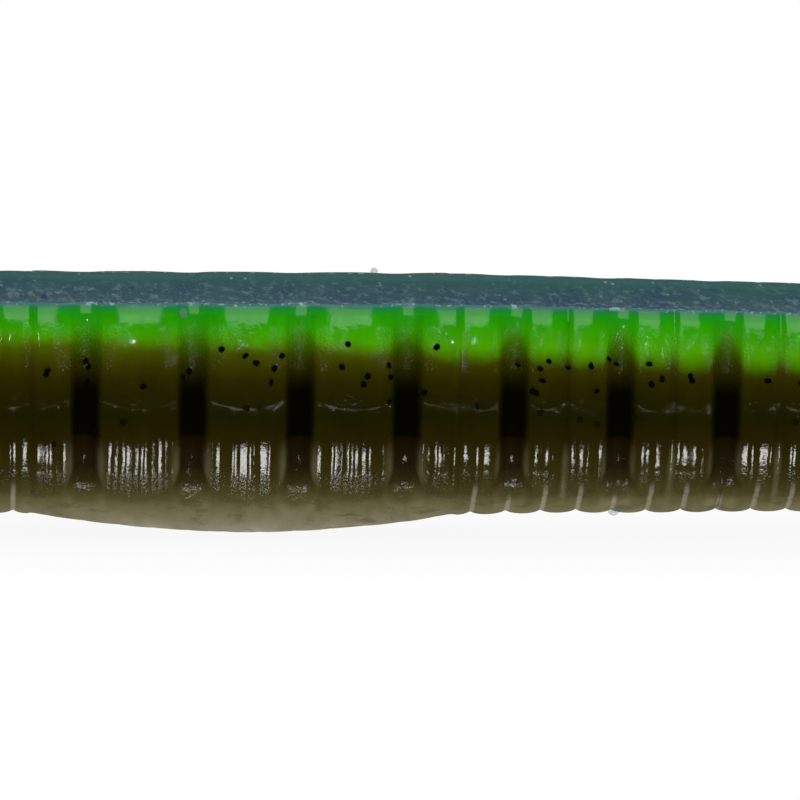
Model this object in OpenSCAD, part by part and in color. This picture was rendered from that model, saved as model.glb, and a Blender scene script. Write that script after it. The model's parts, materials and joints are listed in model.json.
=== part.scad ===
// Soft plastic worm: a hand-poured fishing bait with a flat back, a ringed
// round belly, a swollen egg sac and a straight tapering tail.
// The casting is three bonded pours: a thin back film, a green core and a
// smoke belly. It bends anywhere along its length, which twelve sections on
// eleven flex joints stand for. The joints sit in grooves between rings.
// Origin: the tip of the nose. +X runs to the tail, +Z to the flat back.

/* [Body] */
// Length of one ring, from groove to groove
ring_pitch = 3.15; // [2.6:0.05:3.9]
// Half the width of the body at the crease, which is also the belly's radius
half_width = 4.0; // [3.3:0.1:4.8]
// Height of the flat back above the crease
back_height = 2.8; // [2.3:0.1:3.4]
// Height of the centre of the flank's arc above the crease
flank_rise = 0.86; // [0.6:0.02:1.04]

/* [Layers] */
// Thickness of the back film
film = 0.35; // [0.2:0.05:0.6]
// Height above the crease at which the green core begins
core_floor = 1.2; // [1.05:0.05:1.6]

/* [Grooves] */
// Width of the groove between two rings
groove_w = 0.8; // [0.5:0.05:1.2]
// Depth of the groove in the flank
groove_depth = 0.45; // [0.25:0.05:0.7]
// Depth of the groove under the belly
belly_groove = 0.1; // [0.05:0.01:0.2]

/* [Egg sac] */
// How far the egg sac hangs below the belly
sac_swell = 0.6; // [0.2:0.05:0.9]

/* [Nose and tail] */
// Length of the rounded nose
nose_len = 8.6; // [6.8:0.1:9.2]
// Size of the tail's end as a share of the body's
tail_scale = 0.5; // [0.42:0.02:0.7]
// How far the crease drops from the egg sac to the tail's end
tail_sink = 0.68; // [0:0.02:1.2]
// Length of the rounded end of the tail
tail_round = 4.0; // [2.5:0.1:6]

/* [Flex joints] */
// Radius of the core ball that carries the bend from one section to the next
ball_r = 1.4; // [1.1:0.05:1.5]
// Clearance between the ball and its dish
ball_gap = 0.1; // [0.05:0.01:0.12]
// Height of the bend's centre, from the crease
bend_z = -0.5; // [-0.7:0.05:-0.45]
// Slope of the section ends, which leaves room for the bend
end_slope = 8; // [4:0.5:12]

/* [Hidden] */
$fn = 64;
// the last ring of each section, from the nose
SECTION_ENDS = [3, 7, 11, 16, 20, 24, 28, 32, 36, 40, 44, 48];
LAST = len(SECTION_ENDS) - 1;
RINGS = SECTION_ENDS[LAST];
SAC = 3;
// the egg sac starts and ends half a ring inside its section
sac_x0 = (SECTION_ENDS[SAC - 1] + 0.5) * ring_pitch;
sac_x1 = (SECTION_ENDS[SAC] - 0.5) * ring_pitch;
flank_r = sqrt(half_width * half_width + flank_rise * flank_rise);
length = RINGS * ring_pitch;
// larger than any outline, for cutting shapes
reach = 2 * (half_width + back_height);
// radius that clears the edges of the flat back
corner_r = flank_r + flank_rise;
// radius of the flat middle of a section's end, inside the ball's seat
slot_flat = 0.4;
// how far the egg sac's sides stand inside its arcs
sac_step = 0.02;

FILM_BLUE = [0.24, 0.33, 0.43];
CORE_GREEN = [0.12, 0.42, 0.06];
BELLY_SMOKE = [0.33, 0.31, 0.17];

// Size of a ring as a share of the full body: whole up to the egg sac, then an even taper.
function ring_scale(k) =
    k <= SECTION_ENDS[SAC] ? 1
    : 1 - (1 - tail_scale) * (k - SECTION_ENDS[SAC]) / (RINGS - SECTION_ENDS[SAC]);

// Height of the crease at a ring.
function crease_z(k) = -tail_sink * (1 - ring_scale(k)) / (1 - tail_scale);

// Height of the centre of the bend at the groove behind ring k.
function pivot_z(k) = crease_z(k) + bend_z * ring_scale(k);

// Lowest and highest level of a pour in the full-size body.
function pour(layer) =
    layer == "back" ? [back_height - film, back_height]
    : layer == "core" ? [core_floor, back_height - film]
    : [-reach, core_floor];

// Outline across the body. A groove is cut in by inset, and by less under the belly.
// The egg sac hangs down by drop.
module outline(s, drop, inset) {
    belly_r = s * half_width - inset;
    lower = max(inset - belly_groove * s, 0);
    translate([0, -drop - lower]) circle(r = belly_r);
    // the stretch beside the egg sac stands a hair inside the arcs, so that it crosses them
    side = belly_r - sac_step;
    if (drop > 0)
        translate([-side, -drop - lower]) square([2 * side, drop + lower]);
    translate([0, s * flank_rise]) circle(r = s * flank_r - inset);
}

// One pour's share of the outline, drawn out from x0 to x1 at the size of ring k.
module slice(k, layer, x0, x1, drop = 0, inset = 0) {
    s = ring_scale(k);
    levels = pour(layer);
    translate([x0, 0, crease_z(k)])
        rotate([90, 0, 90])
            linear_extrude(x1 - x0)
                intersection() {
                    outline(s, drop, inset);
                    translate([-reach, s * levels[0]])
                        square([2 * reach, s * (levels[1] - levels[0])]);
                }
}

// One ring of a pour, from the groove before it to the groove behind it.
module ring(k, layer) {
    x0 = (k - 1) * ring_pitch + groove_w / 2;
    x1 = k * ring_pitch - groove_w / 2;
    if (x1 <= sac_x0 || x0 >= sac_x1)
        slice(k, layer, x0, x1);
    else if (x0 < sac_x0) {
        slice(k, layer, x0, sac_x0);
        slice(k, layer, sac_x0, x1, drop = sac_swell);
    } else if (x1 > sac_x1) {
        slice(k, layer, x0, sac_x1, drop = sac_swell);
        slice(k, layer, sac_x1, x1);
    } else
        slice(k, layer, x0, x1, drop = sac_swell);
}

// The floor of the groove behind ring k.
module groove_floor(k, layer) {
    x = k * ring_pitch;
    in_sac = x > sac_x0 && x < sac_x1;
    slice(k, layer, x - groove_w / 2, x + groove_w / 2,
          drop = in_sac ? sac_swell : 0, inset = groove_depth * ring_scale(k));
}

// A turned form that narrows to a rounded point at the origin, over len.
module bullet(len, r) {
    arc_r = (len * len + r * r) / (2 * r);
    rotate([0, 90, 0]) {
        rotate_extrude()
            intersection() {
                translate([r - arc_r, len]) circle(r = arc_r, $fn = 96);
                square([r, len]);
            }
        translate([0, 0, len]) cylinder(h = length, r = r);
    }
}

// A shape turned about the body's line, through the centre of the bend behind ring k.
module turned_at(k) {
    translate([k * ring_pitch, 0, pivot_z(k)])
        rotate([0, 90, 0])
            rotate_extrude() children();
}

// Half of the ball's outline, grown by the gap for its dish.
module half_disc(r) {
    intersection() {
        circle(r = r);
        translate([0, -r]) square([r, 2 * r]);
    }
}

// Outline of the open slot between two sections, thin at the bend's centre and wide at the rim.
module slot_outline() {
    half = groove_w / 2;
    rim = half + (reach - slot_flat) * tan(end_slope);
    polygon([[0, -half], [slot_flat, -half], [reach, -rim],
             [reach, rim], [slot_flat, half], [0, half]]);
}

// The core ball behind ring k.
module ball(k) {
    turned_at(k) half_disc(ball_r * ring_scale(k));
}

// All rings of one section in one pour, before its ends are shaped.
module rings(i, layer) {
    for (k = [SECTION_ENDS[i - 1] + 1 : SECTION_ENDS[i]]) {
        ring(k, layer);
        if (k < SECTION_ENDS[i]) groove_floor(k, layer);
    }
}

// The smooth head with its rounded nose, the rings, or the rings with the rounded tail.
module shaped(i, layer) {
    if (i == 0)
        intersection() {
            slice(1, layer, 0, SECTION_ENDS[0] * ring_pitch - groove_w / 2);
            bullet(nose_len, corner_r);
        }
    else if (i == LAST)
        intersection() {
            union() {
                rings(i, layer);
                slice(RINGS, layer, length - groove_w / 2, length);
            }
            translate([length, 0, crease_z(RINGS)])
                mirror([1, 0, 0]) bullet(tail_round, corner_r * ring_scale(RINGS));
        }
    else
        rings(i, layer);
}

// One section in one pour. The belly carries a ball behind and a dish in front.
module section(i, layer) {
    difference() {
        union() {
            difference() {
                shaped(i, layer);
                if (i < LAST) turned_at(SECTION_ENDS[i]) slot_outline();
            }
            if (i < LAST && layer == "belly") ball(SECTION_ENDS[i]);
        }
        if (i > 0) front_cut(SECTION_ENDS[i - 1], layer);
    }
}

// What the joint at groove k takes from the section behind it.
module front_cut(k, layer) {
    turned_at(k) {
        slot_outline();
        if (layer == "belly") half_disc(ball_r * ring_scale(k) + ball_gap);
    }
}

module back_film(i) { color(FILM_BLUE) section(i, "back"); }
module green_core(i) { color(CORE_GREEN) section(i, "core"); }
module smoke_belly(i) { color(BELLY_SMOKE) section(i, "belly"); }

for (i = [0 : LAST]) {
    back_film(i);
    green_core(i);
    smoke_belly(i);
}
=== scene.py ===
"""Soft plastic worm: a poured bait with a matte blue back, a glossy green core and a ringed smoke belly."""
import json
import math

import bpy
import numpy as np
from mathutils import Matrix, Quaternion, Vector

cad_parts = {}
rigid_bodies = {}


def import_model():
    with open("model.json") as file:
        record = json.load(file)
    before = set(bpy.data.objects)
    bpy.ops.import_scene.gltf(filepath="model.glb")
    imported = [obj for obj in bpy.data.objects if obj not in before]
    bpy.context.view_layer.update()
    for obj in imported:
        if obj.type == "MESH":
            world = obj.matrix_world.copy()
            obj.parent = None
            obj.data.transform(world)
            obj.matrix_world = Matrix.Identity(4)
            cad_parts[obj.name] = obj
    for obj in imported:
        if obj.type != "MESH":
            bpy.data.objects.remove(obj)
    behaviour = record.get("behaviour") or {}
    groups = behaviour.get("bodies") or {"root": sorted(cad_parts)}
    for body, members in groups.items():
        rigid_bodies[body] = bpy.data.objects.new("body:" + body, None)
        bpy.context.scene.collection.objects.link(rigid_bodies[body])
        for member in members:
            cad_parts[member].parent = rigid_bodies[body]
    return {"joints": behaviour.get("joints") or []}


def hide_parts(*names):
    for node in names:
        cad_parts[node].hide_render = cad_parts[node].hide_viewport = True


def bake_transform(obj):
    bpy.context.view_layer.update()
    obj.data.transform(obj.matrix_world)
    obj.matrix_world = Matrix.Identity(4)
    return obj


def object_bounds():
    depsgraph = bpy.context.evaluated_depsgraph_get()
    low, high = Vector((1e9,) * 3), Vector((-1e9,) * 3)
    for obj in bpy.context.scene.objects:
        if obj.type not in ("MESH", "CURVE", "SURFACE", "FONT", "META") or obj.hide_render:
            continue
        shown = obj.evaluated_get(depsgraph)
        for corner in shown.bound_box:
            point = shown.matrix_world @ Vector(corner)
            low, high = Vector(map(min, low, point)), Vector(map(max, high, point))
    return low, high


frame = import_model()
cad_low, cad_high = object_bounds()

MM = 0.001

# ---------------------------------------------------------------- sizes, in millimetres
RINGS = 48
LENGTH = cad_high.x / MM
RING = LENGTH / RINGS
HALF_WIDTH = 4.0
BELLY_DEPTH = 3.9
BACK_LEVEL = 2.8
FILM_LEVEL = 2.5
CORE_LEVEL = 1.2
FLANK_RISE = 0.86
FLANK_RADIUS = math.hypot(HALF_WIDTH, FLANK_RISE)
SAC_SWELL = 0.62
TAIL_SCALE = 0.5
TAIL_SINK = 0.68
NOSE_LENGTH = 8.6
TAIL_ROUND = 4.0
# 2 would round the nose and the tail as a ball does, and more is blunter
BLUNTNESS = 2.3
GROOVE_HALF = 0.38
GROOVE_DEPTH = 0.42
# how much wider a groove is cut than its shaded floor, on each side
GROOVE_SHOULDER = 0.06
# how much a groove widens to each side at its foot
FLARE = 0.22
PAD_HALF = RING / 2 - GROOVE_HALF
# how far a pad's middle stands out, and how much more it does on the egg sac
CROWN = 0.11
SAC_CROWN = 0.11
# how far a pad's edge lies in
PAD_SINK = 0.03
# the fine groove between the two lobes of a ring
HAIR_DEPTH = 0.05
HAIR_WIDTH = 0.07
CREASE_LIP = 0.085
# the fine ribs under the belly
RIBS_PER_RING = 3
RIB_HEIGHT = 0.15
RIB_SINK = 0.09
# the bead along the edges of the back film, and the dish between them
BEAD_HEIGHT = 0.010
BEAD_PLACE = 0.1
BEAD_WIDTH = 0.07
DISH_DEPTH = 0.04
# a chip of flake, and how far it stands out of the skin where it lies flat
CHIP_RADIUS = 0.105
CHIP_THICKNESS = 0.02
CHIP_LIFT = 0.004

# ---------------------------------------------------------------- places, in rings or degrees
# the head is smooth up to here, and the rings are whole one ring later
SMOOTH_HEAD = 2.4
# the egg sac, and half the length over which its wide pads become the body's narrow ones
SAC_START = 11.5
SAC_END = 15.5
SAC_BLUR = 0.06
# degrees below the crease: where a groove widens, where its cut runs out and where its shade ends
FLARE_START = 32
FLARE_END = 47
CUT_START = 32
CUT_END = 45
CUT_ARCH = 6
SHADE_END = 56
SHADE_ARCH = 7
# degrees above the crease of the lowest line of the belly
KEEL = -90.0
# degrees below the crease: where a pad ends in its middle, and how much higher at its sides
PAD_END = 51
PAD_ARCH = 6
# degrees above the crease between which a groove grows shallow, and the share of its depth that is left
SHALLOW_FROM = 12
SHALLOW_AT = 34
SHALLOW_SHARE = 0.3
# faces that meet more sharply than this keep their edge
SHARP_ANGLE = 58

# ---------------------------------------------------------------- mesh
# mesh steps in millimetres for the egg sac and its neighbours, which have the finest detail, and the rest
FINE_STEP = 0.062
PLAIN_STEP = 0.095
FINE_PIECES = range(2, 6)
# the band of degrees about the crease with closer steps, and their size as a share of the others
CREASE_BAND = (1.5, -6.5)
CREASE_STEP = 0.45
# points across the hidden faces between two pours
HIDDEN_POINTS = 7
# stations along the rounded nose and tail, and the angle in radians at which the last one stops
NOSE_STATIONS = 90
TAIL_STATIONS = 60
TIP_STOP = 0.02

# ---------------------------------------------------------------- flakes
FLAKE_SEED = 700
# flakes in a millimetre of the worm, on both flanks
FLAKES_PER_MM = 4.6
# rings kept clear of flakes behind a seam and before the next
CLEAR_BEHIND = 0.35
CLEAR_BEFORE = 0.05
# lowest, commonest and highest level of the flakes, and the levels of the few deep ones
FLAKE_LEVELS = (-0.1, 1.0, 1.75)
DEEP_LEVELS = (-1.4, 0.2)
DEEP_SHARE = 0.2
CHIP_SIZES = (0.85, 1.1)
# how far the chips tilt, and how much a tilted chip is lifted so that it isn't sunk in the skin
TILT = 0.5
TILT_LIFT = 0.045

# ---------------------------------------------------------------- the mould's marks, in millimetres
# from one turning mark to the next, on the body and on the egg sac
BROAD_MARKS = 0.34
NARROW_MARKS = 0.2
# how high each texture stands
BROAD_HEIGHT = 0.016
NARROW_HEIGHT = 0.008
GRAIN_HEIGHT = 0.002
DENT_HEIGHT = 0.006
LUMP_HEIGHT = 0.012
EDGE_LUMP_HEIGHT = 0.045
CRUMPLE_HEIGHT = 0.035
# the weave and the grit are as high as their base all over the smoke, and higher in a band of their own
WEAVE_BASE = 0.003
WEAVE_HEIGHT = 0.008
GRIT_BASE = 0.004
GRIT_HEIGHT = 0.017

# ---------------------------------------------------------------- the green pour's lower border
# it rises and falls once in this length, in millimetres, from this turn in radians
SWING_LENGTH = 46
SWING_TURN = 4.9

JOINTS = sorted(frame["joints"], key=lambda joint: joint["pos_m"][0])
SECTIONS = [JOINTS[0]["parent"]] + [joint["child"] for joint in JOINTS]
JOINT_RINGS = [joint["pos_m"][0] / MM / RING for joint in JOINTS]
# skins meet in a groove near the middle of each section between two joints
SEAMS = [0.0] + [float(round((a + b) / 2)) for a, b in zip(JOINT_RINGS, JOINT_RINGS[1:])] + [float(RINGS)]


# ---------------------------------------------------------------- small helpers
def rise(low, high, x):
    """0 below low, 1 above high, smooth between."""
    t = np.clip((x - low) / (high - low), 0, 1)
    return t * t * (3 - 2 * t)


def ripple(seed, *coordinates):
    """Gentle unevenness between about -1 and 1, from a few sine waves."""
    chance = np.random.default_rng(seed)
    total = 0
    for _ in range(7):
        phase = chance.uniform(0, 2 * math.pi)
        for c in coordinates:
            phase = phase + c * chance.normal()
        total = total + np.sin(phase)
    return total / 3


# ---------------------------------------------------------------- the worm's form
def body_scale(ring):
    """Size of the body as a share of its full size: an even taper behind the egg sac."""
    return 1 - (1 - TAIL_SCALE) * np.clip(ring - SAC_END, 0, None) / (RINGS - SAC_END)


def end_scale(ring):
    """1 along the body, falling to 0 at the rounded nose and tail."""
    ahead = np.clip(ring * RING / NOSE_LENGTH, 0, 1)
    behind = np.clip((LENGTH - ring * RING) / TAIL_ROUND, 0, 1)
    return np.sqrt((1 - (1 - ahead) ** BLUNTNESS) * (1 - (1 - behind) ** BLUNTNESS))


def crease_level(ring):
    """Height of the crease in the full-size body, which drops as the body tapers."""
    return -TAIL_SINK * (1 - body_scale(ring)) / (1 - TAIL_SCALE)


def sac_share(ring):
    """1 along the egg sac, 0 elsewhere."""
    begun = rise(SAC_START - SAC_BLUR, SAC_START + SAC_BLUR, ring)
    return begun * rise(-SAC_END - SAC_BLUR, -SAC_END + SAC_BLUR, -ring)


def from_groove(ring):
    """Distance to the nearest groove, and to the middle of the nearest lobe as a share of its half width."""
    away = np.abs(ring - np.round(ring)) * RING
    wide = (RING / 2 - away) / PAD_HALF
    narrow = np.abs(away - GROOVE_HALF - PAD_HALF / 2) / (PAD_HALF / 2)
    sac = sac_share(ring)
    return away, np.clip(sac * wide + (1 - sac) * narrow, 0, 1.4)


def ringed(ring):
    """0 on the smooth head, 1 where the rings are whole."""
    return rise(SMOOTH_HEAD, SMOOTH_HEAD + 1, ring)


def groove_half(down):
    """Half the width of a groove, which flares towards its foot."""
    return GROOVE_HALF + FLARE * rise(FLARE_START, FLARE_END, down)


def groove_share(ring, down):
    """1 in the shaded floor of a groove, 0 on the pads. The foot is flared and closes in a round end."""
    away, _ = from_groove(ring)
    half = groove_half(down)
    foot = SHADE_END - SHADE_ARCH * (away / half) ** 2
    blur = 0.09 + 0.05 * rise(10, -5, down)
    between_walls = 1 - rise(half - blur, half + blur, away)
    return between_walls * (1 - rise(foot - 6, foot + 3, down)) * ringed(ring)


def groove_cut(ring, angle):
    """Depth of the groove in mm: round in its floor, shallow at the back and deepest at the crease."""
    down = np.clip(-angle, 0, None)
    away, _ = from_groove(ring)
    across = np.clip((away / (groove_half(down) + GROOVE_SHOULDER)) ** 2, 0, 1)
    foot = 1 - rise(CUT_START - CUT_ARCH * across, CUT_END - CUT_ARCH * across, down)
    share = SHALLOW_SHARE + (1 - SHALLOW_SHARE) * rise(-SHALLOW_AT, -SHALLOW_FROM, -angle)
    return GROOVE_DEPTH * share * (1 - across) * foot * ringed(ring)


def pad_share(ring, down):
    """1 on the pads of the flank and above them, 0 below their rounded ends."""
    _, lobe = from_groove(ring)
    end = PAD_END - PAD_ARCH * np.clip(lobe, 0, 1) ** 2 + 1.2 * ripple(3, ring * 3)
    return 1 - rise(end - 6, end + 4, down)


def belly_radius(ring, angle):
    """The plain round belly with its egg sac, without pads or ribs."""
    turn = np.radians(angle)
    depth = np.where(angle < 0, BELLY_DEPTH, HALF_WIDTH)
    belly = HALF_WIDTH * depth / np.hypot(depth * np.cos(turn), HALF_WIDTH * np.sin(turn))
    along_sac = np.clip((ring - SAC_START) / (SAC_END - SAC_START), 0, 1)
    return belly + SAC_SWELL * np.sin(math.pi * along_sac) ** 0.8 * rise(25, 88, -angle)


def flank_radius(angle):
    """The plain flank above the crease."""
    turn = np.radians(angle)
    return FLANK_RISE * np.sin(turn) + np.sqrt(FLANK_RADIUS ** 2 - (FLANK_RISE * np.cos(turn)) ** 2)


def crease_lip(ring, down, dome):
    """How far the lip below the crease stands out. It starts in a shallow arc on each lobe."""
    arc = -0.5 + 3.6 * dome + 0.35 * ripple(7, ring * 6)
    below = np.clip(down - arc, 0, None)
    uneven = 0.8 + 0.3 * ripple(8, ring * 24)
    return CREASE_LIP * (1 - np.exp(-below / 1.8)) * (1 - 0.8 * groove_share(ring, down)) * uneven


def rib_height(ring):
    """Round ribs with sharp valleys between them."""
    rib = np.abs((ring * RIBS_PER_RING) % 1 - 0.5) * 2
    return RIB_HEIGHT * np.sqrt(1 - 0.97 * rib ** 2) - RIB_SINK


def skin_radius(ring, angle):
    """Distance in mm from the crease's centre line to the skin, at an angle in degrees above the crease."""
    down = np.clip(-angle, 0, None)
    away, lobe = from_groove(ring)
    sac = sac_share(ring)
    dome = 1 - np.clip(lobe, 0, 1) ** 2
    crown = (CROWN + SAC_CROWN * sac) * dome - PAD_SINK
    hair = HAIR_DEPTH * np.exp(-(((RING / 2 - away) / HAIR_WIDTH) ** 2)) * (1 - sac)
    pad = pad_share(ring, down)
    cut = groove_cut(ring, angle)
    pads = pad * (0.8 * crown - hair + crease_lip(ring, down, dome)) * ringed(ring) - cut
    ribs = rib_height(ring) * (1 - 0.9 * sac) * (1 - pad) * ringed(ring)
    belly = belly_radius(ring, angle) + pads + ribs
    flank = flank_radius(angle) + (crown - hair) * ringed(ring) - cut
    uneven = 0.018 * ripple(11, ring * 2.2, angle / 14) + 0.006 * ripple(12, ring * 9, angle / 4)
    return np.maximum(belly, flank) + uneven


def place(ring, angle, side):
    """Points on the skin of one side (-1 near, 1 far), with the level in the full-size body, in mm."""
    radius = skin_radius(ring, angle)
    turn = np.radians(angle)
    level = radius * np.sin(turn)
    # towards the back the pads and grooves only reach sideways, because the pour's top lies level
    level = level + (flank_radius(angle) * np.sin(turn) - level) * rise(8, 26, angle)
    return side * radius * np.cos(turn), level


def to_body(ring, across, level):
    """Full-size outline to the tapered body, in metres."""
    size = body_scale(ring) * end_scale(ring)
    x = ring * RING + 0 * across
    return np.stack([x, across * size, level * size + crease_level(ring)], axis=-1) * MM


def angle_of(level):
    """The angle above the crease at which the plain flank reaches a level."""
    reach = math.sqrt(FLANK_RADIUS ** 2 - (level - FLANK_RISE) ** 2)
    return math.degrees(math.atan2(level, reach))


def steps(start, end, step):
    """Angles from start to end, close enough for the skin's detail, and closer at the crease."""
    count = max(3, int(abs(math.radians(end - start)) * HALF_WIDTH / step))
    even = np.linspace(start, end, count + 1)
    if start > 0 > end:
        top, bottom = CREASE_BAND
        count = int((top - bottom) / math.degrees(CREASE_STEP * step / HALF_WIDTH))
        crease = np.linspace(top, bottom, count)
        even = np.concatenate([even[even > top + 0.5], crease, even[even < bottom - 0.5]])
    return even


def side_loop(ring, top, bottom, under, step):
    """Round a pour: down the near side, under or across it, up the far side and back over its top."""
    down = steps(top, bottom, step)
    near = place(ring, down[None, :], -1)
    far = place(ring, down[None, ::-1], 1)
    share = np.linspace(-1, 1, HIDDEN_POINTS)[None, 1:-1]
    across = [near[0], far[0]]
    level = [near[1], far[1]]
    angle = [down, down[::-1]]
    if not under:
        across.insert(1, far[0][:, :1] * share)
        level.insert(1, far[1][:, :1] + 0 * share)
        angle.insert(1, np.full(share.size, bottom))
    across.append(far[0][:, -1:] * -share)
    level.append(far[1][:, -1:] + 0 * share)
    angle.append(np.full(share.size, top))
    return np.hstack(across), np.hstack(level), np.concatenate(angle)


def film_loop(ring, step):
    """Round the back film: up, over its open-poured top with a beaded edge, down and back across below."""
    side = steps(angle_of(FILM_LEVEL), angle_of(BACK_LEVEL), step)
    near = place(ring, side[None, :], -1)
    far = place(ring, side[None, ::-1], 1)
    share = np.linspace(-1, 1, int(2 * HALF_WIDTH / step))[None, 1:-1]
    inward = (1 - np.abs(share)) * HALF_WIDTH
    bead = BEAD_HEIGHT * np.exp(-(((inward - BEAD_PLACE) / BEAD_WIDTH) ** 2))
    bead = bead * (1 + 0.6 * ripple(21, ring * 12))
    dish = -DISH_DEPTH * rise(0.2, 2.0, inward)
    pits = 0.003 * ripple(22, ring * 11, share * 9) + 0.002 * ripple(23, ring * 1.5, share * 2)
    across = far[0][:, :1] * share
    level = far[1][:, :1] + bead + dish + pits * rise(0, 0.3, inward)
    under = np.linspace(1, -1, HIDDEN_POINTS)[None, 1:-1]
    below = far[0][:, -1:] * under
    all_across = np.hstack([near[0], across, far[0], below])
    all_level = np.hstack([near[1], level, far[1], far[1][:, -1:] + 0 * under])
    top, bottom = np.full(share.size, side[-1]), np.full(under.size, side[0])
    angles = np.concatenate([side, top, side[::-1], bottom])
    return all_across, all_level, angles


def stations(start, end, step):
    """Rings at which the skin is drawn, closer at the rounded nose and tail."""
    count = int((end - start) * RING / step)
    even = np.linspace(start, end, count + 1)
    if start == 0:
        tip = NOSE_LENGTH / RING
        eased = tip * (1 - np.cos(np.linspace(TIP_STOP, math.pi / 2, NOSE_STATIONS)))
        even = np.concatenate([eased, even[even > tip + 0.01]])
    if end == RINGS:
        tip = TAIL_ROUND / RING
        eased = RINGS - tip * (1 - np.cos(np.linspace(math.pi / 2, TIP_STOP, TAIL_STATIONS)))
        even = np.concatenate([even[even < RINGS - tip - 0.01], eased])
    return even


def wrap(name, ring, across, level, angles):
    """A grid is added, wrapped round the worm, joined along its seam and closed at both ends."""
    bpy.ops.object.select_all(action="DESELECT")
    rows, columns = across.shape
    bpy.ops.mesh.primitive_grid_add(x_subdivisions=columns, y_subdivisions=rows - 1, size=MM)
    piece = bpy.context.object
    piece.name = name
    piece.data.name = name
    loop = np.r_[0:columns, 0]
    column = ring[:, None]
    points = to_body(column, across, level)[:, loop]
    piece.data.vertices.foreach_set("co", points.astype(np.float32).ravel())
    down = np.clip(-angles, 0, None)[None, :] + 0 * across
    from_valley = np.abs((column * RIBS_PER_RING + 0.5) % 1 - 0.5)
    values = {
        "level": level,
        "groove": groove_share(column, down),
        "lobe": from_groove(column)[1] * ringed(column) + 0 * across,
        "rib": from_valley + sac_share(column) + 0 * across,
        "across": across / HALF_WIDTH,
        "down": down,
    }
    for key, value in values.items():
        layer = piece.data.attributes.new(key, "FLOAT", "POINT")
        layer.data.foreach_set("value", value[:, loop].astype(np.float32).ravel())
    bpy.ops.object.mode_set(mode="EDIT")
    bpy.ops.mesh.select_all(action="SELECT")
    bpy.ops.mesh.remove_doubles(threshold=1e-8)
    bpy.ops.mesh.select_all(action="SELECT")
    bpy.ops.mesh.fill_holes(sides=0)
    bpy.ops.mesh.select_all(action="SELECT")
    bpy.ops.mesh.normals_make_consistent(inside=False)
    bpy.ops.object.mode_set(mode="OBJECT")
    bpy.ops.object.shade_smooth_by_angle(angle=math.radians(SHARP_ANGLE))
    return piece


# ---------------------------------------------------------------- shader maths
class Value:
    """A shader socket that takes part in Python arithmetic."""

    def __init__(self, paint, socket):
        self.paint = paint
        self.socket = socket

    def math(self, operation, *others):
        return self.paint.node("ShaderNodeMath", [self, *others], operation=operation)

    def __add__(self, other):
        return self.math("ADD", other)

    def __radd__(self, other):
        return self.math("ADD", other)

    def __sub__(self, other):
        return self.math("SUBTRACT", other)

    def __rsub__(self, other):
        return self.math("MULTIPLY_ADD", -1, other)

    def __mul__(self, other):
        return self.math("MULTIPLY", other)

    def __rmul__(self, other):
        return self.math("MULTIPLY", other)

    def __truediv__(self, other):
        return self.math("DIVIDE", other)


class Paint:
    """A material and the one method that adds its nodes."""

    def __init__(self, name):
        self.material = bpy.data.materials.new(name)
        self.material.use_nodes = True
        self.tree = self.material.node_tree
        self.tree.nodes.clear()

    def node(self, kind, inputs=(), output=0, stops=(), **settings):
        """A node of a kind: its settings and ramp stops first, then its sockets. Returns one output."""
        made = self.tree.nodes.new(kind)
        for key, value in settings.items():
            setattr(made, key, value)
        for i, (at, colour) in enumerate(stops):
            element = made.color_ramp.elements[i] if i < 2 else made.color_ramp.elements.new(at)
            element.position = at
            element.color = (*colour, 1)
        pairs = inputs.items() if isinstance(inputs, dict) else enumerate(inputs)
        for key, value in pairs:
            if isinstance(value, Value):
                self.tree.links.new(value.socket, made.inputs[key])
            else:
                made.inputs[key].default_value = value
        return Value(self, made.outputs[output]) if len(made.outputs) else None

    def attribute(self, name):
        return self.node("ShaderNodeAttribute", output="Fac", attribute_name=name)

    def place(self):
        """Object coordinates in millimetres."""
        spot = self.node("ShaderNodeTexCoord", output="Object")
        return self.node("ShaderNodeVectorMath", {0: spot, "Scale": 1 / MM}, operation="SCALE")

    def stretch(self, spot, x, y, z):
        return self.node("ShaderNodeVectorMath", [spot, (x, y, z)], operation="MULTIPLY")

    def noise(self, spot, scale, detail=2.0, rough=0.5):
        inputs = {"Vector": spot, "Scale": scale, "Detail": detail, "Roughness": rough}
        return self.node("ShaderNodeTexNoise", inputs)

    def between(self, value, low, high):
        """0 at low, 1 at high, smooth between. low may be above high."""
        inputs = {"Value": value, "From Min": low, "From Max": high}
        return self.node("ShaderNodeMapRange", inputs, interpolation_type="SMOOTHSTEP")

    def mix(self, share, a, b, blend="MIX"):
        inputs = {0: share, 6: a, 7: b}
        return self.node("ShaderNodeMix", inputs, output=2, data_type="RGBA", blend_type=blend)

    def ramp(self, value, low, high, stops):
        """A colour for each level from low to high."""
        share = (value - low) / (high - low)
        placed = [((at - low) / (high - low), colour) for at, colour in stops]
        return self.node("ShaderNodeValToRGB", [share], stops=placed)

    def bump(self, height):
        """height is in millimetres."""
        return self.node("ShaderNodeBump", {"Height": height * MM, "Strength": 1.0, "Distance": 1.0})

    def finish(self, inputs, dull=None):
        """dull is the share of the skin that mirrors nothing, as in the shade of a groove."""
        surface = self.node("ShaderNodeBsdfPrincipled", inputs)
        if dull is not None:
            flat = {"Base Color": inputs["Base Color"], "Specular IOR Level": 0.0, "Roughness": 0.6}
            flat = self.node("ShaderNodeBsdfPrincipled", flat)
            surface = self.node("ShaderNodeMixShader", {0: dull, 1: surface, 2: flat})
        self.node("ShaderNodeOutputMaterial", {"Surface": surface})
        return self.material


def shade(red, green, blue):
    """A colour as it looks, from 0 to 255, as the light that a shader works in."""
    parts = [c / 255 for c in (red, green, blue)]
    return tuple(c / 12.92 if c <= 0.04045 else ((c + 0.055) / 1.055) ** 2.4 for c in parts)


def rgba(red, green, blue):
    """The same colour, with the fourth number that a socket takes."""
    return (*shade(red, green, blue), 1)


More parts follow.
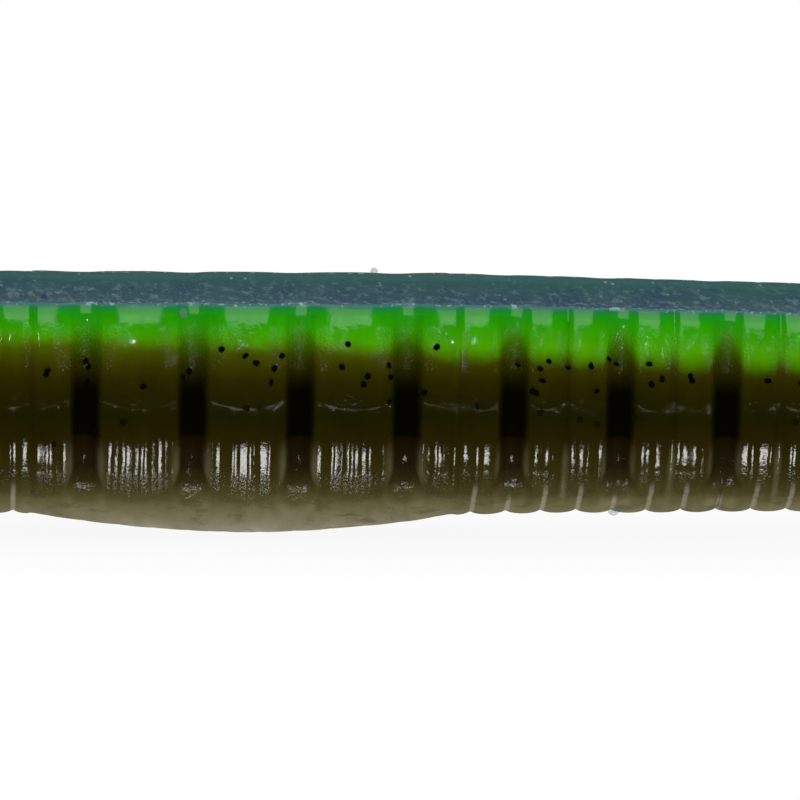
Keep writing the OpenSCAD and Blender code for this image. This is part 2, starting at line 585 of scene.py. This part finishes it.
# ---------------------------------------------------------------- finishes
def body_colour(paint, spot):
    """Green bleeding into olive, then dark smoke that grows paler towards the belly, partly its own tint and
    partly painted light from below through the plastic, and painted shade in the grooves, black at their
    darkest.
    """
    level = paint.attribute("level")
    groove = paint.attribute("groove")
    lobe = paint.attribute("lobe")
    greens = paint.ramp(level, 1.2, 3.0, [
        (1.3, shade(74, 146, 0)),
        (1.7, shade(70, 154, 0)),
        (2.1, shade(52, 153, 0)),
        (2.4, shade(36, 150, 0)),
        (2.6, shade(29, 140, 24)),
        (2.72, shade(24, 122, 60)),
        (2.85, shade(34, 100, 84)),
    ])
    # the smoke by level: dark olive by the crease, paler towards the belly, partly as painted light shining
    # up through the thin plastic
    smoke_and_underlight = paint.ramp(level, -4.7, 2.0, [
        (-4.45, shade(146, 138, 122)),
        (-3.9, shade(116, 111, 86)),
        (-3.4, shade(94, 90, 60)),
        (-2.9, shade(66, 62, 31)),
        (-2.4, shade(51, 46, 15)),
        (-1.8, shade(42, 37, 5)),
        (-1.2, shade(33, 28, 1)),
        (-0.5, shade(25, 24, 0)),
        (0.1, shade(30, 28, 0)),
        (0.6, shade(38, 35, 0)),
        (1.0, shade(50, 49, 0)),
        (1.3, shade(60, 66, 0)),
        (1.9, shade(80, 100, 0)),
    ])
    shadow = paint.ramp(level, -4.7, 3.0, [
        (-3.1, shade(74, 70, 38)),
        (-2.6, shade(44, 38, 12)),
        (-2.1, shade(27, 19, 2)),
        (-1.2, shade(21, 14, 0)),
        (-1.1, shade(5, 4, 0)),
        (0.25, shade(3, 3, 0)),
        (0.5, shade(17, 15, 0)),
        (0.8, shade(34, 32, 0)),
        (1.2, shade(46, 52, 0)),
        (1.6, shade(48, 92, 0)),
        (2.1, shade(34, 132, 0)),
        (2.5, shade(20, 134, 30)),
        (2.8, shade(20, 112, 84)),
    ])

    # where the green gives way to the smoke
    along = paint.node("ShaderNodeSeparateXYZ", [spot])
    swing = (along * (2 * math.pi / SWING_LENGTH) - SWING_TURN).math("COSINE")
    patches = paint.noise(paint.stretch(spot, 0.6, 1.0, 1.0), 1.0, 3.0)
    wisps = paint.noise(paint.stretch(spot, 1.0, 1.0, 1.6), 3.2, 3.0, 0.6)
    border = level + (patches - 0.5) * 0.5 + (wisps - 0.5) * (swing * 0.12 + 0.22)
    border = border - lobe.math("POWER", 4) * (0.12 - swing * 0.12)
    middle = swing * 0.31 + 1.5
    spread = swing * -0.05 + 0.36
    green = paint.between((border - middle) / spread, -1.0, 1.0)
    colour = paint.mix(green, smoke_and_underlight, greens)

    # painted light at the edges of the pads and in the valleys between the ribs, as if shining through
    # thinner plastic, and painted shadow in the grooves
    edge_light_streaks = paint.noise(paint.stretch(spot, 3.0, 0.6, 0.6), 1.0, 3.0, 0.6)
    painted_edge_light = paint.between(lobe, 0.72, 1.05) * paint.between(level, -1.1, -2.0) * (edge_light_streaks + 0.1)
    colour = paint.mix(painted_edge_light * 0.75, colour, rgba(112, 108, 80))
    # painted light: pale lines in the valleys between the ribs
    painted_rib_light = paint.between(paint.attribute("rib"), 0.1, 0.03) * paint.between(level, -2.5, -3.0)
    colour = paint.mix(painted_rib_light * 0.45, colour, rgba(160, 156, 138))
    colour = paint.mix(groove * (paint.between(level, 2.3, 1.1) * 0.54 + 0.4), colour, shadow)

    # blotches on the belly and faint clouds all over
    blotch = paint.between(paint.noise(paint.stretch(spot, 0.8, 1.0, 1.6), 1.1, 4.0, 0.7), 0.52, 0.64)
    colour = paint.mix(blotch * paint.between(level, -2.4, -3.2) * 0.45, colour, rgba(70, 66, 36))
    cloud = paint.noise(paint.stretch(spot, 1.4, 0.5, 0.5), 1.3, 4.0, 0.6)
    return paint.mix(0.34, colour, paint.node("ShaderNodeCombineColor", [cloud, cloud, cloud]), "OVERLAY")


def plastisol(name):
    """Wet-looking soft plastic, with the grain and the turning marks of its mould."""
    paint = Paint(name)
    spot = paint.place()
    down = paint.attribute("down")
    level = paint.attribute("level")
    groove = paint.attribute("groove")
    along = paint.node("ShaderNodeSeparateXYZ", [spot])
    patches = paint.between(paint.noise(spot, 1.6, 2.0), 0.42, 0.6)
    grain = paint.noise(spot, 9.0, 3.0, 0.6) * GRAIN_HEIGHT + paint.noise(spot, 2.6, 2.0) * DENT_HEIGHT

    # lumps where the flakes lie, highest at the edges of the pads
    flecked = paint.between(level, 0.7, 1.0) * paint.between(level, 2.3, 1.9)
    edge = paint.between(paint.attribute("lobe"), 0.45, 0.75)
    lumps = patches * LUMP_HEIGHT + edge * EDGE_LUMP_HEIGHT
    lumps = paint.noise(spot, 13.0, 2.0, 0.6) * lumps * flecked

    # turning marks low on the pads, narrower on the egg sac
    sway = paint.noise(spot, 1.6, 3.0)
    broad = (along * (math.pi / BROAD_MARKS) + sway * 1.6).math("SINE").math("ABSOLUTE") * BROAD_HEIGHT
    narrow = (along * (math.pi / NARROW_MARKS) + sway * 1.2).math("SINE").math("ABSOLUTE") * NARROW_HEIGHT
    sac = paint.between(along, SAC_START * RING, SAC_START * RING + 0.6)
    sac = sac * paint.between(along, SAC_END * RING, SAC_END * RING - 0.6)
    lathe = paint.between(down, 12.0, 20.0) * paint.between(down, 56.0, 46.0)
    lines = (broad + (narrow - broad) * sac) * lathe * (patches * 0.3 + 0.8)

    # a fine weave by the crease, grit below it and a crumpled foot to each groove
    weave = paint.noise(paint.stretch(spot, 1.0, 1.8, 1.8), 7.0, 3.0, 0.7)
    weave = weave * (paint.between(down, 12.0, 5.0) * WEAVE_HEIGHT + WEAVE_BASE)
    grit = paint.noise(spot, 12.0, 2.0, 0.7) * (paint.between(down, 31.0, 35.0) * GRIT_HEIGHT + GRIT_BASE)
    rough = paint.between(level, 0.7, 0.1) * paint.between(down, 64.0, 54.0)
    foot = groove * paint.between(down, 28.0, 32.0)
    crumple = paint.noise(spot, 5.0, 2.0, 0.5) * foot * CRUMPLE_HEIGHT
    height = grain + lumps + lines + (weave + grit) * rough + crumple

    # the grooves are dull below the crease, but for their lower edges, and so is the underside
    bright = paint.between(paint.attribute("lobe"), 1.02, 1.16) * paint.between(down, 29.0, 33.0)
    shaded = groove * paint.between(level, 0.6, 0.2) * (1 - bright)
    shaded = shaded.math("MAXIMUM", paint.between(down, 47.0, 56.0))
    return paint.finish({
        "Base Color": body_colour(paint, spot),
        "Roughness": 0.08,
        "IOR": 1.46,
        "Normal": paint.bump(height),
    }, dull=shaded)


def poured_film(name):
    """Matte slate blue with pale flecks, painted glints and a painted highlight along each rim, fine pits,
    and teal at its edges where the green shows through.
    """
    paint = Paint(name)
    spot = paint.place()
    level = paint.attribute("level")
    signed = paint.attribute("across")
    wide = paint.stretch(spot, 1.0, 0.22, 1.0)

    # blue, clouded and grained, with a few navy stains
    clouds = paint.noise(wide, 0.7, 3.0)
    grains = paint.noise(wide, 4.5, 3.0, 0.7)
    blue = paint.mix(paint.between(clouds, 0.3, 0.7), rgba(68, 96, 124), rgba(80, 112, 126))
    blue = paint.mix(paint.between(grains, 0.48, 0.7), blue, rgba(116, 146, 160))
    navy = paint.between(paint.noise(wide, 1.9, 2.0), 0.66, 0.72)
    blue = paint.mix(navy * 0.75, blue, rgba(30, 66, 124))

    # teal towards the far side and along the near edge
    far = paint.between(signed + (clouds - 0.5) * 0.4, -0.2, 0.8)
    near = paint.between(signed + (grains - 0.5) * 0.05, -0.82, -0.9)
    top = paint.mix((far + near).math("MINIMUM", 1.0) * 0.85, blue, rgba(64, 118, 112))

    # pale flecks, painted glints as fine specks by the near edge, and a painted highlight as a broken pale
    # line along each rim
    fleck = paint.node("ShaderNodeTexVoronoi", {"Vector": wide, "Scale": 3.0})
    pale = paint.between(fleck, 0.2, 0.06) * paint.between(paint.noise(wide, 1.3, 2.0), 0.46, 0.56)
    top = paint.mix(pale * 0.6, top, rgba(180, 204, 204))
    # painted glints: fine pale specks by the near edge
    painted_glint_specks = paint.between(paint.noise(spot, 8.0, 2.0), 0.6, 0.68) * paint.between(signed, -0.1, -0.75)
    top = paint.mix(painted_glint_specks * 0.5, top, rgba(176, 196, 204))
    # painted highlight: a broken pale line along each rim
    out = signed.math("ABSOLUTE")
    rim = paint.between(out, 0.84, 0.86) * paint.between(out, 0.9, 0.885)
    painted_rim_glints = paint.between(paint.noise(paint.stretch(spot, 1.0, 0.3, 1.0), 4.0, 2.0), 0.54, 0.62)
    top = paint.mix(rim * painted_rim_glints * 0.5, top, rgba(180, 205, 205))

    # the film's side is green that turns to teal below the rim
    flank = paint.ramp(level, 2.3, 3.0, [
        (2.4, shade(36, 150, 0)),
        (2.55, shade(29, 142, 20)),
        (2.68, shade(26, 128, 52)),
        (2.78, shade(40, 108, 82)),
    ])
    colour = paint.mix(paint.between(level, 2.68, 2.79), flank, top)
    pits = paint.noise(spot, 7.0, 4.0, 0.7) * 0.012 + paint.between(fleck, 0.2, 0.04) * 0.01
    pits = pits * paint.between(level, 2.72, 2.8)
    return paint.finish({
        "Base Color": colour,
        "Roughness": paint.between(level, 2.7, 2.79) * 0.32 + 0.1 - pale * 0.1,
        "IOR": 1.4,
        "Normal": paint.bump(pits),
    })


def flake_black(name):
    """Black film chips. Deeper chips are veiled by the smoke plastic over them."""
    paint = Paint(name)
    veil = paint.attribute("veil")
    grain = paint.noise(paint.place(), 6.0, 2.0)
    colour = paint.mix(veil, rgba(4, 5, 2), rgba(18, 18, 1))
    return paint.finish({
        "Base Color": colour,
        "Roughness": grain * 0.2 + 0.3,
        "Specular IOR Level": 0.0,
    })


def clear_bead(name):
    """Glossy beads of trapped air and stray plastic, which the pour shows through."""
    paint = Paint(name)
    tint = paint.noise(paint.place(), 5.0, 3.0)
    colour = paint.mix(tint, rgba(90, 116, 120), rgba(150, 176, 180))
    return paint.finish({"Base Color": colour, "Roughness": 0.05, "IOR": 1.5, "Alpha": 0.3})


# ---------------------------------------------------------------- pieces
def ride_on_joint(piece, index, nodes):
    """The piece's transform is baked into its mesh, and the CAD nodes that it stands for are hidden."""
    centre = JOINT_RINGS[index]
    reach = min(centre - SEAMS[index], SEAMS[index + 1] - centre)
    half = Vector((reach * RING * MM, 0, 0))
    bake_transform(piece)
    if nodes:
        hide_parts(*nodes)


def stood_for(index, node_ending):
    """The CAD nodes that a piece replaces: its first section's, and for the last piece the tail tip's too."""
    names = [SECTIONS[index]]
    if index == len(JOINTS) - 1:
        names.append(SECTIONS[-1])
    return [f"{name}_{node_ending}" for name in names]


def pour_pieces(index, wet, matte):
    """Back film, green core and smoke belly from one seam to the next."""
    step = FINE_STEP if index in FINE_PIECES else PLAIN_STEP
    ring = stations(SEAMS[index], SEAMS[index + 1], step)
    column = ring[:, None]
    film_angle, core_angle = angle_of(FILM_LEVEL), angle_of(CORE_LEVEL)
    name = f"{SECTIONS[index]}_to_{SECTIONS[index + 1]}"
    pours = [
        ("back_film", "back", matte, film_loop(column, step)),
        ("green_core", "core", wet, side_loop(column, film_angle, core_angle, False, step)),
        ("smoke_belly", "belly", wet, side_loop(column, core_angle, KEEL, True, step)),
    ]
    for pour, node_ending, finish, loop in pours:
        piece = wrap(f"{pour}_{name}", ring, *loop)
        piece.data.materials.append(finish)
        ride_on_joint(piece, index, stood_for(index, node_ending))


def skin_frame(ring, angle, side):
    """A point on the skin in metres, with the directions along it, up it and out of it."""
    def at(ring, angle):
        return to_body(ring, *place(ring, angle, side))

    spot = at(ring, angle)
    along = at(ring + 0.02, angle) - spot
    up = at(ring, angle + 1) - spot
    along /= np.linalg.norm(along)
    up = up - along * (up @ along)
    up /= np.linalg.norm(up)
    out = np.cross(along, up) * -side
    return spot, along, up, out


def chip_mesh():
    """One six-sided chip of film, modelled once and copied."""
    bpy.ops.object.select_all(action="DESELECT")
    bpy.ops.mesh.primitive_cylinder_add(vertices=6, radius=CHIP_RADIUS, depth=CHIP_THICKNESS)
    chip = bpy.context.object
    points = np.array([v.co for v in chip.data.vertices])
    faces = [tuple(f.vertices) for f in chip.data.polygons]
    bpy.data.objects.remove(chip, do_unlink=True)
    return points, faces


def flakes(index, chip, finish):
    """Chips strewn through the top of the smoke on both flanks, thick near the green and thin below."""
    chance = np.random.default_rng(FLAKE_SEED + index)
    points, faces = chip
    all_points, all_faces, veils = [], [], []
    start, end = SEAMS[index] + CLEAR_BEHIND, SEAMS[index + 1]
    count = int((end - start) * RING * FLAKES_PER_MM)
    for _ in range(count):
        ring = chance.uniform(start, end - CLEAR_BEFORE)
        deep = chance.random() < DEEP_SHARE
        level = chance.uniform(*DEEP_LEVELS) if deep else chance.triangular(*FLAKE_LEVELS)
        side = chance.choice((-1, 1))
        size = chance.uniform(*CHIP_SIZES)
        tip, slew = chance.normal(0, TILT), chance.normal(0, TILT)
        veil = chance.uniform(0.5, 0.9) if deep else chance.uniform(0, 0.45) ** 1.5
        angle = angle_of(level) if level > 0 else -math.degrees(math.asin(-level / HALF_WIDTH))
        spot, along, up, out = skin_frame(ring, angle, side)
        tilted = out + tip * along + slew * up
        tilted /= np.linalg.norm(tilted)
        flat = along - tilted * (along @ tilted)
        flat /= np.linalg.norm(flat)
        turned = np.stack([flat, np.cross(tilted, flat), tilted])
        lift = CHIP_LIFT + TILT_LIFT * math.hypot(tip, slew)
        moved = points @ turned * size * MM + spot + out * lift * MM
        all_faces += [tuple(i + len(all_points) * len(points) for i in f) for f in faces]
        all_points.append(moved)
        veils += [veil] * len(points)
    mesh = bpy.data.meshes.new(f"flakes_{SECTIONS[index]}")
    mesh.from_pydata(np.concatenate(all_points).tolist(), [], all_faces)
    piece = bpy.data.objects.new(f"flakes_{SECTIONS[index]}_to_{SECTIONS[index + 1]}", mesh)
    bpy.context.scene.collection.objects.link(piece)
    layer = mesh.attributes.new("veil", "FLOAT", "POINT")
    layer.data.foreach_set("value", veils)
    mesh.materials.append(finish)
    ride_on_joint(piece, index, [])


def beads(index, spots, finish):
    """Small beads sunk in the skin: ring, angle above the crease (or share across the back), side, radius.

    On the back, side 0, each is a bubble under the film's skin.
    """
    all_points, all_faces = [], []
    for ring, angle, side, radius in spots:
        if side == 0:
            spot = to_body(ring, angle * HALF_WIDTH, BACK_LEVEL)
        else:
            spot = skin_frame(ring, angle, side)[0]
        bpy.ops.object.select_all(action="DESELECT")
        bpy.ops.mesh.primitive_uv_sphere_add(segments=20, ring_count=12, radius=radius * MM)
        ball = bpy.context.object
        base = len(np.concatenate(all_points)) if all_points else 0
        all_points.append(np.array([v.co for v in ball.data.vertices]) + spot)
        all_faces += [tuple(i + base for i in f.vertices) for f in ball.data.polygons]
        bpy.data.objects.remove(ball, do_unlink=True)
    name = f"beads_{SECTIONS[index]}_to_{SECTIONS[index + 1]}"
    mesh = bpy.data.meshes.new(name)
    mesh.from_pydata(np.concatenate(all_points).tolist(), [], all_faces)
    piece = bpy.data.objects.new(name, mesh)
    bpy.context.scene.collection.objects.link(piece)
    mesh.shade_smooth()
    mesh.materials.append(finish)
    ride_on_joint(piece, index, [])


# ---------------------------------------------------------------- stage
# the world's brightness as it lights the plastic, as it mirrors in it, and as the camera sees it
FILL_LIGHT = 0.8
MIRRORED_LIGHT = 0.008
WHITE = 1.0
# the floor's width, its gap below the worm and how near the worm darkens it, all in metres
FLOOR_SIZE = 3.0
FLOOR_GAP = 0.00002
SHADOW_REACH = 0.007
# the share of the grey that shows where the worm covers the whole sky
SHADOW_DEPTH = 0.15
# metres from the worm to the camera, and across the stretch in view
CAMERA_DISTANCE = 0.25
VIEW_WIDTH = 0.02353


def white_floor(low):
    """A pale table of clear glass on white. It darkens where the worm stands close over it."""
    bpy.ops.object.select_all(action="DESELECT")
    bpy.ops.mesh.primitive_plane_add(size=FLOOR_SIZE, location=(LENGTH * MM / 2, 0, low - FLOOR_GAP))
    floor = bpy.context.object
    floor.name = "floor"
    paint = Paint("white_table")
    reach = {"Distance": SHADOW_REACH}
    open_sky = paint.node("ShaderNodeAmbientOcclusion", reach, output="AO", samples=8)
    camera = paint.node("ShaderNodeLightPath", output="Is Camera Ray")
    behind = paint.node("ShaderNodeNewGeometry", output="Backfacing")
    shadow = (1 - open_sky) * camera * (1 - behind) * SHADOW_DEPTH
    colour = paint.mix(shadow, (1, 1, 1, 1), (0.5, 0.5, 0.5, 1))
    surface = paint.node("ShaderNodeBsdfTransparent", {"Color": colour})
    paint.node("ShaderNodeOutputMaterial", {"Surface": surface})
    floor.data.materials.append(paint.material)


def studio_world():
    """White to the camera, an even fill for the plastic's colour, and dark in its reflections."""
    world = bpy.data.worlds.new("studio")
    bpy.context.scene.world = world
    world.use_nodes = True
    tree = world.node_tree
    tree.nodes.clear()
    path = tree.nodes.new("ShaderNodeLightPath")
    glows = []
    for strength in (FILL_LIGHT, MIRRORED_LIGHT, WHITE):
        glow = tree.nodes.new("ShaderNodeBackground")
        glow.inputs["Color"].default_value = (1, 1, 1, 1)
        glow.inputs["Strength"].default_value = strength
        glows.append(glow)
    fill, dark, white = glows
    gloss = tree.nodes.new("ShaderNodeMixShader")
    tree.links.new(path.outputs["Is Glossy Ray"], gloss.inputs[0])
    tree.links.new(fill.outputs[0], gloss.inputs[1])
    tree.links.new(dark.outputs[0], gloss.inputs[2])
    seen = tree.nodes.new("ShaderNodeMixShader")
    tree.links.new(path.outputs["Is Camera Ray"], seen.inputs[0])
    tree.links.new(gloss.outputs[0], seen.inputs[1])
    tree.links.new(white.outputs[0], seen.inputs[2])
    output = tree.nodes.new("ShaderNodeOutputWorld")
    tree.links.new(seen.outputs[0], output.inputs["Surface"])


def direction(azimuth, elevation):
    """The direction from the worm to a lamp or the camera. Azimuth 0 is the front and 90 the tail's side."""
    turn, lift = math.radians(azimuth), math.radians(elevation)
    return Vector((math.sin(turn) * math.cos(lift), -math.cos(turn) * math.cos(lift), math.sin(lift)))


def lamp(name, target, azimuth, elevation, distance, width, height, brightness):
    """An even rectangular lamp, aimed at the target."""
    towards = direction(azimuth, elevation)
    data = bpy.data.lights.new(name, "AREA")
    data.shape = "RECTANGLE"
    data.size = width
    data.size_y = height
    data.energy = brightness * math.pi * width * height
    light = bpy.data.objects.new(name, data)
    light.location = target + towards * distance
    light.rotation_mode = "QUATERNION"
    light.rotation_quaternion = towards.to_track_quat("Z", "Y")
    bpy.context.scene.collection.objects.link(light)


def studio_camera(target, azimuth, elevation, distance, width, roll):
    """A long lens that takes in the given width of the worm's near flank."""
    back = direction(azimuth, elevation)
    data = bpy.data.cameras.new("camera")
    data.sensor_width = 36.0
    data.lens = data.sensor_width * (distance - HALF_WIDTH * MM) / width
    camera = bpy.data.objects.new("camera", data)
    camera.location = target + back * distance
    camera.rotation_mode = "QUATERNION"
    tilt = Quaternion((0, 0, 1), math.radians(roll))
    camera.rotation_quaternion = (-back).to_track_quat("-Z", "Y") @ tilt
    data.clip_start = distance * 0.1
    data.clip_end = 10.0
    bpy.context.scene.collection.objects.link(camera)
    bpy.context.scene.camera = camera


# ---------------------------------------------------------------- making
bpy.context.scene.view_settings.view_transform = "Standard"
target = Vector((15.0 * RING, 0.0, -0.56)) * MM
studio_camera(target, azimuth=-3.0, elevation=8.2, distance=CAMERA_DISTANCE, width=VIEW_WIDTH, roll=0.7)
studio_world()
lamp("softbox", target, 0, 41, distance=0.3, width=0.17, height=0.079, brightness=2.2)
lamp("spark", target, -6, 19, distance=0.3, width=0.008, height=0.003, brightness=220)
lamp("tail_side_spark", target, 33, 9, distance=0.3, width=0.004, height=0.006, brightness=1100)
lamp("light_table", target, 0, -58, distance=0.28, width=0.06, height=0.07, brightness=15.0)

wet_plastic = plastisol("wet_plastisol")
matte_film = poured_film("matte_poured_film")
black_chip = flake_black("black_flake")
clear = clear_bead("clear_plastic_bead")
one_chip = chip_mesh()
for index in range(len(JOINTS)):
    pour_pieces(index, wet_plastic, matte_film)
    flakes(index, one_chip, black_chip)

# trapped air and stray drops: three bubbles in a row and a drop, then two more bubbles and a drop
beads(2, [
    (11.36, -0.5, 0, 0.1),
    (11.49, -0.5, 0, 0.12),
    (11.66, -0.45, 0, 0.1),
    (12.9, 34.0, -1, 0.16),
], clear)
beads(3, [(14.8, 0.985, 0, 0.12)], clear)
beads(4, [
    (16.98, -0.55, 0, 0.12),
    (17.02, -73.0, -1, 0.18),
], clear)

visual_low, visual_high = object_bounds()
white_floor(visual_low.z)
